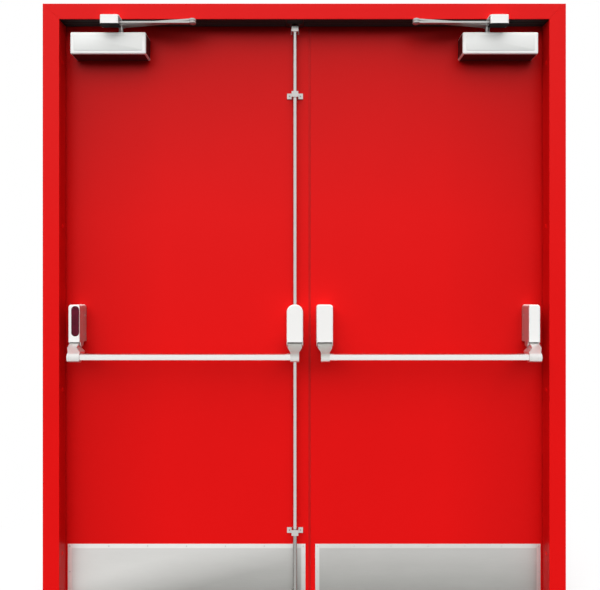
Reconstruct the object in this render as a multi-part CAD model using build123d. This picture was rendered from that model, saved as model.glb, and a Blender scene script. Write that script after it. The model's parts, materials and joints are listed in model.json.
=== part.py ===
from build123d import *
import math
import os

# Double fire door: a folded steel frame with two flush leaves that open away from the push side.
# Millimetres. +X runs right and +Y away from a person on the push side, +Z up.
# The origin is under the threshold, at the middle of the frame's width and depth.

# Frame: a folded sheet profile with a stop and a rebate
frame_width = 1830.0
frame_height = 2135.0
frame_depth = 110.0
frame_sheet = 2.0
jamb_face = 58.0
head_face = 54.0
stop_height = 15.0
return_lip = 12.0

# Fixing sleeves welded into the jambs
fixing_count = 4
fixing_low_inset = 200.0
fixing_high_inset = 195.0
fixing_bore = 10.0
fixing_sleeve = 18.0

# Threshold
threshold_height = 6.0
threshold_bevel = 3.0

# Leaves
leaf_thickness = 46.0
leaf_skin = 1.5
leaf_seam = 0.5
leaf_stop_gap = 5.0
leaf_back_inset = 2.0
leaf_edge_gap = 5.0
leaf_floor_gap = 10.0
meeting_offset = 19.5
meeting_gap = 8.0

# Kick plates
kick_height = 200.0
kick_thickness = 1.5
kick_floor_inset = 3.0
kick_meeting_inset_left = 11.0
kick_meeting_inset_right = 16.5
kick_stop_gap = 5.0
kick_edge = 0.5
kick_border = 16.0

# Butt hinges
hinge_height = 100.0
hinge_end_inset = 230.0
hinge_knuckles = 5
hinge_plate = 2.0
hinge_plate_depth = 40.0
hinge_barrel = 14.0
hinge_pin = 8.0
hinge_projection = 10.0
hinge_pin_cap = 3.0
knuckle_gap = 0.4
pin_clearance = 0.05

# Closers
closer_length = 265.0
closer_height = 77.0
closer_depth = 60.0
closer_stop_inset = 37.0
closer_soffit_drop = 44.0
closer_round = 5.0
spindle_inset = 172.0
spindle_standoff = 37.0
spindle_diameter = 16.0
spindle_seat = 8.0
spindle_boss = 28.0
spindle_boss_height = 4.0
arm_thickness = 6.0
arm_level_gap = 2.0
arm_plate_gap = 5.0
main_arm_hub = 34.0
main_arm_root = 24.0
main_arm_tip = 16.0
elbow_eye = 24.0
elbow_head = 15.0
elbow_head_height = 2.0
forearm_width = 12.0
forearm_length = 284.0

# Soffit shoes
shoe_plate = 4.0
shoe_width = 66.0
shoe_skirt_height = 30.0
shoe_skirt = 3.0
shoe_round = 8.0
shoe_back = 50.0
shoe_spindle_offset = 24.0
shoe_overhang = 15.0
shoe_eye_gap = 4.0
shoe_stud = 12.0
shoe_nut = 20.0
shoe_nut_height = 4.0

# Push bar cases
case_depth = 65.0
case_wall = 2.5
case_plate = 3.0
case_bottom = 951.0
case_height = 131.0
case_corner = 10.0
rod_case_corner = 26.0
case_front_round = 4.0
latch_case_width = 57.0
latch_case_offset = 52.5
hinge_case_width = 40.0
hinge_case_stop_inset = 52.5
ear_radius = 14.0

# Levers and crossbars
pivot_standoff = 42.0
pivot_drop = 3.0
pivot_pin = 8.0
bar_standoff = 95.0
bar_drop = 46.0
bar_diameter = 25.0
bar_wall = 2.0
bar_fit = 0.1
lever_side_gap = 1.5
lever_hub = 24.0
lever_boss = 34.0
latch_lever_tip = 30.0
hinge_lever_tip = 42.0
hinge_lever_shift = 14.0
lever_end_cap = 5.0

# Vertical rods on the left leaf
rod_diameter = 14.0
rod_standoff = 18.0
rod_fit = 0.5
rod_strike_gap = 5.0
rod_inner_rise = 34.0
rod_inner_gap = 35.0
rod_tip_bevel = 2.0
guide_width = 57.0
guide_height = 20.0
guide_flange = 3.0
guide_block = 24.0
guide_cover = 4.0
guide_kick_rise = 51.0
guide_top_inset = 260.0
end_guide_width = 28.0
end_guide_height = 18.0
end_guide_inset = 28.0

# Strikes for the rods
strike_length = 60.0
strike_front_reach = 18.0
strike_socket = 16.0
top_strike_thickness = 3.0
floor_strike_thickness = 2.0

# Planes and lines that follow from the sizes above
half_width = frame_width / 2
front_y = -frame_depth / 2
back_y = frame_depth / 2
pull_y = back_y - leaf_back_inset
push_y = pull_y - leaf_thickness
stop_y = push_y - leaf_stop_gap
stop_x = half_width - jamb_face
rebate_x = stop_x + stop_height
leaf_x = rebate_x - leaf_edge_gap
soffit_z = frame_height - head_face
rebate_z = soffit_z + stop_height
leaf_top = rebate_z - leaf_edge_gap
leaf_bottom = threshold_height + leaf_floor_gap
meeting_left = meeting_offset - meeting_gap / 2
meeting_right = meeting_offset + meeting_gap / 2
kick_bottom = leaf_bottom + kick_floor_inset
kick_top = kick_bottom + kick_height

hinge_x = (rebate_x + leaf_x) / 2
hinge_y = pull_y + hinge_projection
hinge_levels = (
    leaf_bottom + hinge_end_inset,
    (leaf_bottom + leaf_top) / 2,
    leaf_top - hinge_end_inset,
)

closer_outer_x = stop_x - closer_stop_inset
closer_top = soffit_z - closer_soffit_drop
spindle_x = closer_outer_x - spindle_inset
spindle_y = push_y - spindle_standoff
shoe_x = spindle_x + shoe_spindle_offset
shoe_y = front_y - shoe_overhang
elbow_x = shoe_x - forearm_length
elbow_y = shoe_y
shoe_plate_z = soffit_z - shoe_plate
main_arm_top = shoe_plate_z - arm_plate_gap
main_arm_bottom = main_arm_top - arm_thickness
forearm_top = main_arm_bottom - arm_level_gap
forearm_bottom = forearm_top - arm_thickness

case_top = case_bottom + case_height
pivot_height = case_bottom - pivot_drop
bar_height = pivot_height - bar_drop
pivot_y = push_y - pivot_standoff
bar_y = push_y - bar_standoff
hinge_case_x = stop_x - hinge_case_stop_inset
hinge_lever_x = hinge_case_x - hinge_lever_shift
latch_case_left = meeting_offset - latch_case_offset
latch_case_right = meeting_offset + latch_case_offset

rod_x = latch_case_left
rod_y = push_y - rod_standoff
rod_top = soffit_z - top_strike_thickness - rod_strike_gap
rod_bottom = threshold_height + floor_strike_thickness + rod_strike_gap
bottom_rod_end = case_bottom + rod_inner_rise
top_rod_end = bottom_rod_end + rod_inner_gap
guide_levels = (kick_top + guide_kick_rise, leaf_top - guide_top_inset)

LEFT = -1
RIGHT = 1


def block(x_range, y_range, z_range):
    """A box between two values on each axis."""
    lows = [min(pair) for pair in (x_range, y_range, z_range)]
    highs = [max(pair) for pair in (x_range, y_range, z_range)]
    sizes = [high - low for low, high in zip(lows, highs)]
    middle = [(high + low) / 2 for low, high in zip(lows, highs)]
    return Pos(*middle) * Box(*sizes)


def upright(x, y, z_range, diameter):
    """A cylinder along Z between two heights."""
    low, high = min(z_range), max(z_range)
    return Pos(x, y, (low + high) / 2) * Cylinder(diameter / 2, high - low)


def crosswise(x_range, y, z, diameter):
    """A cylinder along X between two places."""
    low, high = min(x_range), max(x_range)
    return Pos((low + high) / 2, y, z) * Rot(0, 90, 0) * Cylinder(diameter / 2, high - low)


def save(node, *solids):
    """Writes one node, which may be several solids that don't touch."""
    shape = solids[0] if len(solids) == 1 else Compound([s for part in solids for s in part.solids()])
    export_step(shape, f"parts/{node}.step")


def folded_profile(face):
    """Points of the frame's folded sheet: distance in from the wall, and place through the depth."""
    t = frame_sheet
    rebate_face = face - stop_height
    return [
        (0, front_y + return_lip),
        (0, front_y),
        (face, front_y),
        (face, stop_y),
        (rebate_face, stop_y),
        (rebate_face, back_y),
        (0, back_y),
        (0, back_y - return_lip),
        (t, back_y - return_lip),
        (t, back_y - t),
        (rebate_face - t, back_y - t),
        (rebate_face - t, stop_y - t),
        (face - t, stop_y - t),
        (face - t, front_y + t),
        (t, front_y + t),
        (t, front_y + return_lip),
    ]


def head_wedge():
    """The space that the head takes, mitred against the jambs at both ends."""
    corners = [
        (-stop_x, soffit_z),
        (stop_x, soffit_z),
        (stop_x + head_face, frame_height),
        (-stop_x - head_face, frame_height),
    ]
    outline = Plane.XZ * Polygon(*corners, align=None)
    return extrude(outline, amount=frame_depth, both=True)


def fixing_levels():
    """Heights of the fixing sleeves on each jamb."""
    pitch = (frame_height - fixing_low_inset - fixing_high_inset) / (fixing_count - 1)
    return [fixing_low_inset + pitch * i for i in range(fixing_count)]


def jamb(side):
    """One jamb with its fixing sleeves, mitred under the head."""
    points = [(side * (half_width - inward), y) for inward, y in folded_profile(jamb_face)]
    post = extrude(Polygon(*points, align=None), amount=frame_height, dir=(0, 0, 1))
    post -= head_wedge()
    sleeve_y = (front_y + stop_y) / 2
    inner_x = side * stop_x
    wall_x = side * half_width
    for z in fixing_levels():
        sleeve_end = side * (stop_x + frame_sheet)
        post += crosswise((sleeve_end, wall_x), sleeve_y, z, fixing_sleeve)
        post -= crosswise((inner_x, wall_x), sleeve_y, z, fixing_bore)
    return post


def head():
    """The frame's head, with a socket for the top rod."""
    points = [(y, frame_height - inward) for inward, y in folded_profile(head_face)]
    bar = Plane.YZ * Polygon(*points, align=None)
    rail = extrude(bar, amount=half_width, both=True, dir=(1, 0, 0)) & head_wedge()
    return rail - upright(rod_x, rod_y, (soffit_z, soffit_z + frame_sheet), strike_socket)


def threshold():
    """A flat plate between the jambs, with a socket for the bottom rod."""
    front = block((-stop_x, stop_x), (front_y, stop_y), (0, threshold_height))
    back = block((-rebate_x, rebate_x), (stop_y, back_y), (0, threshold_height))
    plate = front + back
    long_edges = plate.edges().filter_by(Axis.X).group_by(Axis.Z)[-1].sort_by(Axis.Y)
    plate = chamfer([long_edges[0], long_edges[-1]], threshold_bevel)
    return plate - upright(rod_x, rod_y, (0, threshold_height), strike_socket)


def strike(z_range):
    """A plate round a rod's socket, which ends at the stop so that it clears the leaf."""
    plate = block(
        (rod_x - strike_length / 2, rod_x + strike_length / 2),
        (rod_y - strike_front_reach, stop_y),
        z_range,
    )
    return plate - upright(rod_x, rod_y, z_range, strike_socket)


def knuckle_range(level, index):
    """Lower and upper end of one knuckle of the hinge at a height."""
    pitch = hinge_height / hinge_knuckles
    start = level - hinge_height / 2 + pitch * index
    return start + knuckle_gap / 2, start + pitch - knuckle_gap / 2


def hinge_half(side, level, on_frame):
    """One half of a butt hinge: its plate in the leaf's gap and every other knuckle."""
    seat = rebate_x if on_frame else leaf_x
    face = seat - hinge_plate if on_frame else seat + hinge_plate
    plate_x = (side * seat, side * face)
    plate_end = hinge_y - hinge_barrel / 2 - knuckle_gap
    full_range = (level - hinge_height / 2, level + hinge_height / 2)
    half = block(plate_x, (plate_end - hinge_plate_depth, plate_end), full_range)
    first = 0 if on_frame else 1
    for index in range(first, hinge_knuckles, 2):
        z_range = knuckle_range(level, index)
        half += block(plate_x, (plate_end, hinge_y), z_range)
        half += upright(side * hinge_x, hinge_y, z_range, hinge_barrel)
    return half - upright(side * hinge_x, hinge_y, full_range, hinge_pin + 2 * pin_clearance)


def hinge_pin_at(side, level):
    """A hinge pin with a cap at each end."""
    low = level - hinge_height / 2 + knuckle_gap / 2
    high = level + hinge_height / 2 - knuckle_gap / 2
    pin = upright(side * hinge_x, hinge_y, (low, high), hinge_pin)
    pin += upright(side * hinge_x, hinge_y, (low - hinge_pin_cap, low), hinge_barrel)
    return pin + upright(side * hinge_x, hinge_y, (high, high + hinge_pin_cap), hinge_barrel)


def leaf_x_range(side):
    """Hinge edge and meeting edge of a leaf."""
    meeting = meeting_left if side == LEFT else meeting_right
    return side * leaf_x, meeting


def inward_range(pair, inset):
    """A range made smaller by the same amount at both ends."""
    return min(pair) + inset, max(pair) - inset


def leaf_pan(side, y_range, open_y):
    """A skin folded over the leaf's edges, as a shallow pan open towards the core."""
    x_range = leaf_x_range(side)
    z_range = (leaf_bottom, leaf_top)
    pan = block(x_range, y_range, z_range)
    return pan - block(inward_range(x_range, leaf_skin), open_y, inward_range(z_range, leaf_skin))


def front_skin(side):
    seam_y = push_y + leaf_thickness / 2 - leaf_seam / 2
    return leaf_pan(side, (push_y, seam_y), (push_y + leaf_skin, seam_y))


def back_skin(side):
    seam_y = pull_y - leaf_thickness / 2 + leaf_seam / 2
    return leaf_pan(side, (seam_y, pull_y), (seam_y, pull_y - leaf_skin))


def leaf_core(side):
    """The filling between the skins."""
    x_range = inward_range(leaf_x_range(side), leaf_skin)
    z_range = inward_range((leaf_bottom, leaf_top), leaf_skin)
    return block(x_range, inward_range((push_y, pull_y), leaf_skin), z_range)


def kick_plate(side):
    """A stainless plate along the foot of the push face, with a wide bevelled border."""
    inset = kick_meeting_inset_left if side == LEFT else kick_meeting_inset_right
    meeting = leaf_x_range(side)[1] + side * inset
    x_range = (side * (stop_x - kick_stop_gap), meeting)
    z_range = (kick_bottom, kick_top)
    plate = block(x_range, (push_y - kick_edge, push_y), z_range)
    rim = plate.faces().sort_by(Axis.Y)[0]
    field_y = push_y - kick_thickness
    field = block(inward_range(x_range, kick_border), (field_y, push_y), inward_range(z_range, kick_border))
    return plate + loft([rim, field.faces().sort_by(Axis.Y)[0]])


def closer_body(side):
    """A closer's housing, with the boss and bearing for its spindle."""
    housing = block(
        (side * closer_outer_x, side * (closer_outer_x - closer_length)),
        (push_y, push_y - closer_depth),
        (closer_top - closer_height, closer_top),
    )
    front = housing.faces().sort_by(Axis.Y)[0].edges()
    ends = housing.edges().filter_by(Axis.Y)
    housing = fillet(list(front) + list(ends), closer_round)
    boss_range = (closer_top, closer_top + spindle_boss_height)
    housing += upright(side * spindle_x, spindle_y, boss_range, spindle_boss)
    bearing = (boss_range[1] - spindle_seat, boss_range[1])
    return housing - upright(side * spindle_x, spindle_y, bearing, spindle_diameter + 2 * pin_clearance)


def spindle(side):
    """The closer's spindle, up into the main arm's hub."""
    seat_z = closer_top + spindle_boss_height - spindle_seat
    return upright(side * spindle_x, spindle_y, (seat_z, main_arm_top), spindle_diameter)


def tapered_bar(start, end, start_width, end_width, z_range):
    """A flat bar with round ends between two places seen from above."""
    rim = (Pos(*start) * Circle(start_width / 2)).edges() + (Pos(*end) * Circle(end_width / 2)).edges()
    outline = Pos(0, 0, min(z_range)) * make_hull(rim)
    return extrude(outline, amount=max(z_range) - min(z_range), dir=(0, 0, 1))


def main_arm(side):
    """The arm on the spindle, out to the elbow."""
    z_range = (main_arm_bottom, main_arm_top)
    hub = (side * spindle_x, spindle_y)
    elbow = (side * elbow_x, elbow_y)
    arm = tapered_bar(hub, elbow, main_arm_root, main_arm_tip, z_range)
    arm += upright(*hub, z_range, main_arm_hub)
    arm += upright(*elbow, z_range, elbow_eye)
    arm += upright(*elbow, (main_arm_top, main_arm_top + elbow_head_height), elbow_head)
    return arm - upright(*hub, z_range, spindle_diameter)


def forearm(side):
    """The arm from the soffit shoe to the elbow, under the main arm."""
    z_range = (forearm_bottom, forearm_top)
    elbow = (side * elbow_x, elbow_y)
    pivot = (side * shoe_x, shoe_y)
    arm = tapered_bar(pivot, elbow, forearm_width, forearm_width, z_range)
    arm += upright(*elbow, z_range, elbow_eye)
    arm += upright(*pivot, z_range, elbow_eye)
    arm += upright(*elbow, (forearm_bottom - elbow_head_height, forearm_bottom), elbow_head)
    return arm - upright(*pivot, z_range, shoe_stud + 2 * pin_clearance)


def closer_shoe(side):
    """The bracket under the soffit: a plate, a skirt round the forearm's pivot, and its stud."""
    front = shoe_y - elbow_eye / 2 - shoe_eye_gap - shoe_skirt
    back = front_y + shoe_back
    outer = side * (shoe_x + shoe_width / 2)
    inner = side * (shoe_x - shoe_width / 2)
    shoe = block((outer, inner), (front, back), (soffit_z - shoe_skirt_height, soffit_z))
    corners = shoe.edges().filter_by(Axis.Z).group_by(Axis.Y)[0]
    shoe = fillet(corners, shoe_round)
    hollow = block(
        (outer - side * shoe_skirt, inner - side * shoe_width),
        (front + shoe_skirt, back + shoe_back),
        (soffit_z - shoe_skirt_height, shoe_plate_z),
    )
    hollow_corner = hollow.edges().filter_by(Axis.Z).group_by(Axis.Y)[0].sort_by(Axis.X)
    hollow = fillet(hollow_corner[-1] if side == RIGHT else hollow_corner[0], shoe_round - shoe_skirt)
    shoe -= hollow
    behind_face = block((outer, inner), (front_y, back), (soffit_z - shoe_skirt_height, shoe_plate_z))
    shoe -= behind_face
    nut_top = forearm_bottom - arm_level_gap
    shoe += upright(side * shoe_x, shoe_y, (nut_top, shoe_plate_z), shoe_stud)
    return shoe + upright(side * shoe_x, shoe_y, (nut_top - shoe_nut_height, nut_top), shoe_nut)


def case_cover(x, width, corner):
    """A hollow cover on the leaf, open below, with two ears for the lever's pin."""
    back = push_y - case_plate
    front = push_y - case_depth
    x_range = (x - width / 2, x + width / 2)
    cover = block(x_range, (front, back), (case_bottom, case_top))
    cover = fillet(cover.edges().filter_by(Axis.Y).group_by(Axis.Z)[-1], corner)
    front_edges = cover.faces().sort_by(Axis.Y)[0].edges().sort_by(Axis.Z)[1:]
    cover = fillet(front_edges, case_front_round)
    hollow = block(
        inward_range(x_range, case_wall),
        (front + case_wall, back),
        (case_bottom, case_top - case_wall),
    )
    hollow = fillet(hollow.edges().filter_by(Axis.Y).group_by(Axis.Z)[-1], corner - case_wall)
    cover -= hollow
    for ear_side in (LEFT, RIGHT):
        outer = x + ear_side * width / 2
        wall = (outer, outer - ear_side * case_wall)
        cover += block(wall, (pivot_y - ear_radius, pivot_y + ear_radius), (pivot_height, case_bottom))
        cover += crosswise(wall, pivot_y, pivot_height, 2 * ear_radius)
    return cover - crosswise(x_range, pivot_y, pivot_height, pivot_pin + 2 * pin_clearance)


def rod_case_cover():
    """The cover that the top rod enters, with a domed top."""
    cover = case_cover(latch_case_left, latch_case_width, rod_case_corner)
    return cover - upright(rod_x, rod_y, (case_top - rod_case_corner, case_top), rod_diameter + 2 * rod_fit)


def case_base(x, width, corner):
    """The plate that a cover closes against, with the cover's outline."""
    plate = block((x - width / 2, x + width / 2), (push_y - case_plate, push_y), (case_bottom, case_top))
    return fillet(plate.edges().filter_by(Axis.Y).group_by(Axis.Z)[-1], corner)


def lever_pin(x, width):
    return crosswise((x - width / 2, x + width / 2), pivot_y, pivot_height, pivot_pin)


def lever(x, width, tip_x, tip, bar_direction):
    """A lever from its pin to the crossbar, with a blind seat for the bar in its tip."""
    root = width - 2 * case_wall - 2 * lever_side_gap
    hub = (Pos(pivot_y, pivot_height) * Circle(lever_hub / 2)).edges()
    boss = (Pos(bar_y, bar_height) * Circle(lever_boss / 2)).edges()
    side_view = Plane.YZ * make_hull(hub + boss)
    reach = max(root / 2, abs(tip_x - x) + tip / 2)
    body = Pos(x, 0, 0) * extrude(side_view, amount=reach, both=True, dir=(1, 0, 0))
    top = pivot_height + lever_hub
    neck = pivot_height - ear_radius - lever_side_gap
    shoulder = bar_height + lever_boss / 2
    low = bar_height - lever_boss
    right = [(x + root / 2, top), (x + root / 2, neck), (tip_x + tip / 2, shoulder), (tip_x + tip / 2, low)]
    left = [(tip_x - tip / 2, low), (tip_x - tip / 2, shoulder), (x - root / 2, neck), (x - root / 2, top)]
    front_view = Plane.XZ * Polygon(*right, *left, align=None)
    body &= extrude(front_view, amount=2 * bar_standoff, both=True)
    bar_seat = (bar_end(tip_x, tip, bar_direction), tip_x + bar_direction * tip / 2)
    body -= crosswise(bar_seat, bar_y, bar_height, bar_diameter + 2 * bar_fit)
    pin_hole = (x - root / 2, x + root / 2)
    return body - crosswise(pin_hole, pivot_y, pivot_height, pivot_pin + 2 * pin_clearance)


def bar_end(tip_x, tip, bar_direction):
    """Where the crossbar ends inside a lever's tip."""
    return tip_x - bar_direction * (tip / 2 - lever_end_cap)


def crossbar(side, latch_x):
    """The tube between the two levers of one leaf."""
    ends = (
        bar_end(side * hinge_lever_x, hinge_lever_tip, -side),
        bar_end(latch_x, latch_lever_tip, side),
    )
    tube = crosswise(ends, bar_y, bar_height, bar_diameter)
    return tube - crosswise(ends, bar_y, bar_height, bar_diameter - 2 * bar_wall)


def bevelled_rod(z_range, tip_is_high):
    """A vertical rod with a bevelled tip at its strike end."""
    rod = upright(rod_x, rod_y, z_range, rod_diameter)
    rims = rod.edges().filter_by(GeomType.CIRCLE).sort_by(Axis.Z)
    return chamfer(rims[-1] if tip_is_high else rims[0], rod_tip_bevel)


def rod_guide(level, width, height, flange, seat_y):
    """A guide on the leaf: a block round the rod, with side flanges where it has any."""
    z_range = (level - height / 2, level + height / 2)
    block_width = min(width, guide_block)
    front = rod_y - rod_diameter / 2 - guide_cover
    guide = block((rod_x - block_width / 2, rod_x + block_width / 2), (front, seat_y), z_range)
    guide += block((rod_x - width / 2, rod_x + width / 2), (seat_y - flange, seat_y), z_range)
    return guide - upright(rod_x, rod_y, z_range, rod_diameter + 2 * rod_fit)


def rod_guides():
    """Two flanged guides on the leaf and a narrow one near each end."""
    guides = [rod_guide(z, guide_width, guide_height, guide_flange, push_y) for z in guide_levels]
    top_z = leaf_top - end_guide_inset
    low_z = kick_bottom + end_guide_inset
    guides.append(rod_guide(top_z, end_guide_width, end_guide_height, guide_flange, push_y))
    guides.append(rod_guide(low_z, end_guide_width, end_guide_height, guide_flange, push_y - kick_thickness))
    return guides


def save_side(side, name):
    """Every piece that both leaves have."""
    save(f"{name}_jamb", jamb(side))
    save(f"{name}_hinge_frame_halves", *[hinge_half(side, z, True) for z in hinge_levels])
    save(f"{name}_hinge_leaf_halves", *[hinge_half(side, z, False) for z in hinge_levels])
    save(f"{name}_hinge_pins", *[hinge_pin_at(side, z) for z in hinge_levels])
    save(f"{name}_front_skin", front_skin(side))
    save(f"{name}_back_skin", back_skin(side))
    save(f"{name}_leaf_core", leaf_core(side))
    save(f"{name}_kick_plate", kick_plate(side))
    save(f"{name}_closer_body", closer_body(side))
    save(f"{name}_closer_spindle", spindle(side))
    save(f"{name}_main_arm", main_arm(side))
    save(f"{name}_forearm", forearm(side))
    save(f"{name}_closer_shoe", closer_shoe(side))
    latch_x = latch_case_left if side == LEFT else latch_case_right
    hinge_at = side * hinge_case_x
    latch_corner = rod_case_corner if side == LEFT else case_corner
    sizes = ((latch_x, latch_case_width), (hinge_at, hinge_case_width))
    latch_cover = rod_case_cover() if side == LEFT else case_cover(latch_x, latch_case_width, case_corner)
    save(f"{name}_latch_case", latch_cover)
    save(f"{name}_hinge_case", case_cover(hinge_at, hinge_case_width, case_corner))
    bases = [case_base(latch_x, latch_case_width, latch_corner)]
    bases.append(case_base(hinge_at, hinge_case_width, case_corner))
    save(f"{name}_case_plates", *bases)
    save(f"{name}_lever_pins", *[lever_pin(x, width) for x, width in sizes])
    levers = [lever(latch_x, latch_case_width, latch_x, latch_lever_tip, side)]
    levers.append(lever(hinge_at, hinge_case_width, side * hinge_lever_x, hinge_lever_tip, -side))
    save(f"{name}_levers", *levers)
    save(f"{name}_crossbar", crossbar(side, latch_x))


def main():
    os.makedirs("parts", exist_ok=True)
    save("frame_head", head())
    save("threshold", threshold())
    save("top_strike", strike((soffit_z - top_strike_thickness, soffit_z)))
    save("floor_strike", strike((threshold_height, threshold_height + floor_strike_thickness)))
    save_side(LEFT, "left")
    save_side(RIGHT, "right")
    save("rod_guides", *rod_guides())
    save("top_rod", bevelled_rod((top_rod_end, rod_top), True))
    save("bottom_rod", bevelled_rod((rod_bottom, bottom_rod_end), False))
    arm_reach = math.hypot(spindle_x - elbow_x, spindle_y - elbow_y)
    print(f"main arm {arm_reach:.1f} mm from spindle to elbow")
    print(f"swing axis at x {hinge_x:.1f}, y {hinge_y:.1f}")


main()
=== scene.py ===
import json
import math

import bmesh
import bpy
from mathutils import Matrix, Vector


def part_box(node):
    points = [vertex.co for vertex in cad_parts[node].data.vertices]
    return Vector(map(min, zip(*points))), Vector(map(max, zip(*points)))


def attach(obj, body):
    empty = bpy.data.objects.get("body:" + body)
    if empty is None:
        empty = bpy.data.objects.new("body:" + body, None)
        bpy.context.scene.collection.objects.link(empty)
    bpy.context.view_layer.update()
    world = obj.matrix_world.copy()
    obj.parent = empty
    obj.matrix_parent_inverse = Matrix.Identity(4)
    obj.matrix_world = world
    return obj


# Looks of the double fire door. Metres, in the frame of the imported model:
# +X right and +Y away from a person on the push side, +Z up.

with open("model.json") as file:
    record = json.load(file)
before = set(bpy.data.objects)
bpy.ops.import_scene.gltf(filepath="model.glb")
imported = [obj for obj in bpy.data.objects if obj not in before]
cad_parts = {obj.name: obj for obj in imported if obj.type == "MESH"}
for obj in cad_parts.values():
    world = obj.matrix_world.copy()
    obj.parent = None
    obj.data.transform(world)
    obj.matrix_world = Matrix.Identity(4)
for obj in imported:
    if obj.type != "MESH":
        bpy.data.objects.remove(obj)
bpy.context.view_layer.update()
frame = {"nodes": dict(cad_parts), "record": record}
nodes = frame["nodes"]

SIDES = (("left", -1), ("right", 1))
MM_PER_M = 1000

# Camera, from the photograph's perspective
CAMERA_PLACE = (-0.015, -2.042, 1.116)
CAMERA_TURN = (1.5707963, 0.0, 0.0)
CAMERA_LENS_MM = 34.1
CAMERA_SENSOR_MM = 36.0

# Studio light and floor
DOME_LEVEL = 0.76
HORIZON = (-0.05, 0.20)
KEY_LIGHT = {"level": 3.75, "elevation": 54.0, "azimuth": -14.0, "softness": 90.0}
BACK_LIGHT = {"level": 1.5, "elevation": 38.0, "azimuth": 168.0, "softness": 90.0}
FLOOR_SIZE = 14.0
FLOOR_COLOUR = 0.62
FLOOR_BOUNCE = 0.04
FLOOR_FADE = (0.6, 1.6)

# Colours in linear light
RED = (0.785, 0.0060, 0.0060)
# The deep red takes the paint's random tone and its painted shade
RED_DEEP = (0.39, 0.0030, 0.0030)
STAINLESS = (0.66, 0.645, 0.625)
# Kick plates: the darkest and brightest tones of their painted reflection and painted highlight
KICK_SHADED = (0.24, 0.24, 0.225)
KICK_BRIGHT = (0.90, 0.895, 0.87)
ROD_STEEL_TONE = (0.64, 0.63, 0.615)
# Rod below its lowest wide guide, darkened as painted shade
ROD_FOOT_SHADED = (0.38, 0.375, 0.36)
SILVER = (0.89, 0.885, 0.87)
# Closer panels: the silver darkened as painted shade
PANEL_SILVER_SHADED = (0.77, 0.78, 0.765)
# Side walls of the hinge cases, darkened as painted shade
CASE_SIDE_PAINTED_SHADE = (0.60, 0.59, 0.575)
ALLOY = (0.51, 0.505, 0.495)
# Levers: grey body as painted shade, and tips lightened as a painted highlight
LEVER_GREY = (0.48, 0.475, 0.45)
LEVER_TIP = (0.80, 0.79, 0.77)
STEEL = (0.56, 0.555, 0.545)
# Top strike, darkened as painted shade under the head
STRIKE_SHADE_TONE = (0.10, 0.095, 0.09)
BRIGHT_STEEL = (0.90, 0.885, 0.87)
RUBBER = (0.022, 0.021, 0.021)
RED_RUBBER = (0.60, 0.0060, 0.0060)
# Black of the shoe covers, the cup in the head and the closers' screw recesses, as painted shade
SHADE_BLACK = (0.010, 0.008, 0.008)
# Dark red of the plates under and beside the closers, tinted as painted shade
MAROON_SHADE = (0.100, 0.009, 0.009)
PLUM = (0.120, 0.003, 0.020)
# Dark of the screw recesses, as painted shade
RECESS_SHADE = (0.05, 0.05, 0.05)

# Stretch of the grain on steel that is brushed along an axis, and the part of a noise that shows as grain
ALONG_X = (0.35, 18.0, 18.0)
ALONG_Z = (18.0, 18.0, 0.35)
GRAIN_SPAN = (0.3, 0.7)

# Where a surface changes over a piece, as start and end, with how much as a third value or on its own.
# The slant is how far the kick plates' painted sheen leans sideways for its height.
# Painted shade on the leaves, deeper towards the head and the hinge side
PAINTED_SHADE_UP = (1.40, 1.95, 0.38)
PAINTED_SHADE_OUT = (0.50, 0.82, 0.28)
SIDEWAYS = (0.6, 0.9)
# Painted shade on the jamb faces that are turned sideways
PAINTED_REVEAL_SHADE = 0.42
CASE_SIDE_POLISH = 0.75
# Painted reflection on the kick plates: darker towards the foot, a slanting sheen, and ends and rims
# brightened as a painted highlight
KICK_RISE = (-0.024, 0.19, 0.423)
KICK_SLANT = 3.5
KICK_SHEEN = (-1.10, -0.60)
KICK_SHEEN_LEVEL = 0.665
KICK_ENDS = (0.480, 0.484, 0.32)
KICK_RIMS = (0.418, 0.436, 0.22)
# Painted shade on the rod below this height
ROD_FOOT_TOP = (0.255, 0.262, 0.95)
# Painted highlight on the lever tips: the height where it starts, and its rise towards the hinges
LEVER_TIP_TOP = (0.910, 0.900, 0.95)
LEVER_TIP_RISE = (0.3, 0.5, 0.045)

# Folded sheet of the frame, and the edges of the sheet and the leaves
SHEET_THICKNESS = 0.002
SHEET_BEND = 0.0008
LEAF_BEND = 0.0007
BEND_STEPS = 3
BEND_ANGLE = math.radians(30)
WELD_DISTANCE = 0.00001

# Faces of a piece that meet at a smaller angle are shaded as one
SMOOTH_ANGLE = math.radians(32)

# Screws and caps: radius and height
KICK_SCREW = (0.0026, 0.0009)
CASE_SCREW = (0.0028, 0.0012)
GUIDE_SCREW = (0.0030, 0.0011)
HINGE_SCREW = (0.0042, 0.0003)
VALVE_SCREW = (0.0042, 0.0010)
BOLT_CAP = (0.0080, 0.0024)
FIXING_CAP = (0.0078, 0.0016)
PINION_CAP = (0.0135, 0.0020)

# Shares of a screw's radius and height: its side, the arm and half width of its cross recess, and the level
# of the recess's floor. The recess takes the piece's second material, mostly dark as painted shade.
SCREW_SIDE = ((1.0, 0.0), (0.96, 0.5), (0.78, 1.0))
RECESS_MOUTH = (0.56, 0.13)
RECESS_FLOOR = (0.46, 0.10)
RECESS_LEVEL = 0.25
RECESS_SLOT = 1

# Places of screws and caps
KICK_SCREW_INSET = 0.008
KICK_SCREWS_ALONG = 7
CLOSER_BOLT_INSET = 0.022
CLOSER_BOLT_LEVELS = (0.018, 0.058)
CASE_BOLT_RISE = 0.045
CASE_BOLT_DROP = 0.030
CASE_SCREW_RISE = 0.040
CASE_SCREW_DROP = 0.038
CASE_SCREW_BACK = 0.010
GUIDE_FLANGE = 0.003
GUIDE_KICK_RISE = 0.051
GUIDE_TOP_INSET = 0.260
GUIDE_SCREW_SHIFT = 0.020
VALVE_SCREW_RISE = 0.014

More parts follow.
